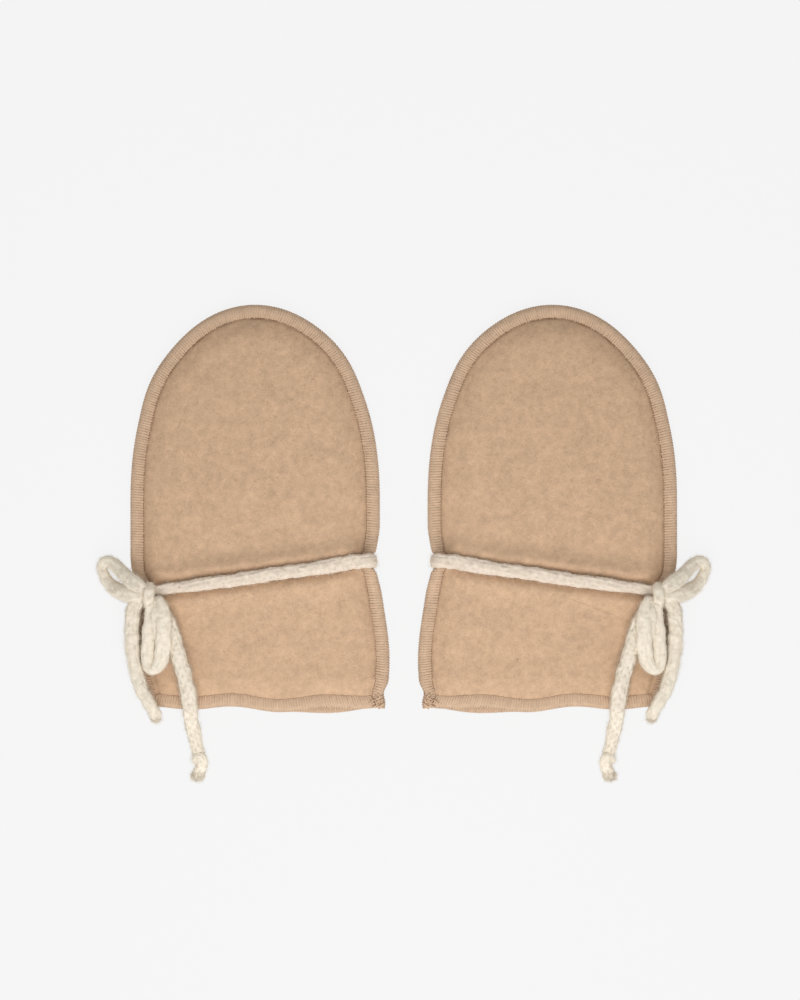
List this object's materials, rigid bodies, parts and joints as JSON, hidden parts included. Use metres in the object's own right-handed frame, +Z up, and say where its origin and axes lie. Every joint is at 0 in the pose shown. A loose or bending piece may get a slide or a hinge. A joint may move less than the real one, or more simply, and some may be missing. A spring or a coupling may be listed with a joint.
{
  "type": "pair of baby mittens",
  "caption": "Pair of thumbless baby mittens in thick wool fleece, laid flat, overlocked round the edges, with a knitted cord tied in a bow round each wrist.",
  "frame": {"origin": "on the surface the mittens lie on, midway between them and midway along their length, the cords left out", "axes": "+X across the pair from the left mitten to the right one, +Y from the wrist to the fingertips, +Z up from the surface"},
  "size_m": [0.1964, 0.1527, 0.015],
  "materials": {
    "wool_fleece": "felted, slightly napped, matt",
    "overlock_thread": "woolly thread, matt",
    "knitted_cord": "knitted wool, matt"
  },
  "bodies": {
    "root": {"left_back_panel": "wool_fleece", "left_front_panel": "wool_fleece", "left_side_overlock": "overlock_thread", "left_back_hem_overlock": "overlock_thread", "left_front_hem_overlock": "overlock_thread", "left_cord_band": "knitted_cord", "left_bow_knot": "knitted_cord", "left_bow_loop_upper": "knitted_cord", "left_bow_loop_lower": "knitted_cord", "left_tail_short": "knitted_cord", "left_tail_long": "knitted_cord", "left_tail_end_knot": "knitted_cord", "right_back_panel": "wool_fleece", "right_front_panel": "wool_fleece", "right_side_overlock": "overlock_thread", "right_back_hem_overlock": "overlock_thread", "right_front_hem_overlock": "overlock_thread", "right_cord_band": "knitted_cord", "right_bow_knot": "knitted_cord", "right_bow_loop_upper": "knitted_cord", "right_bow_loop_lower": "knitted_cord", "right_tail_short": "knitted_cord", "right_tail_long": "knitted_cord", "right_tail_end_knot": "knitted_cord"}
  },
  "joints": []
}
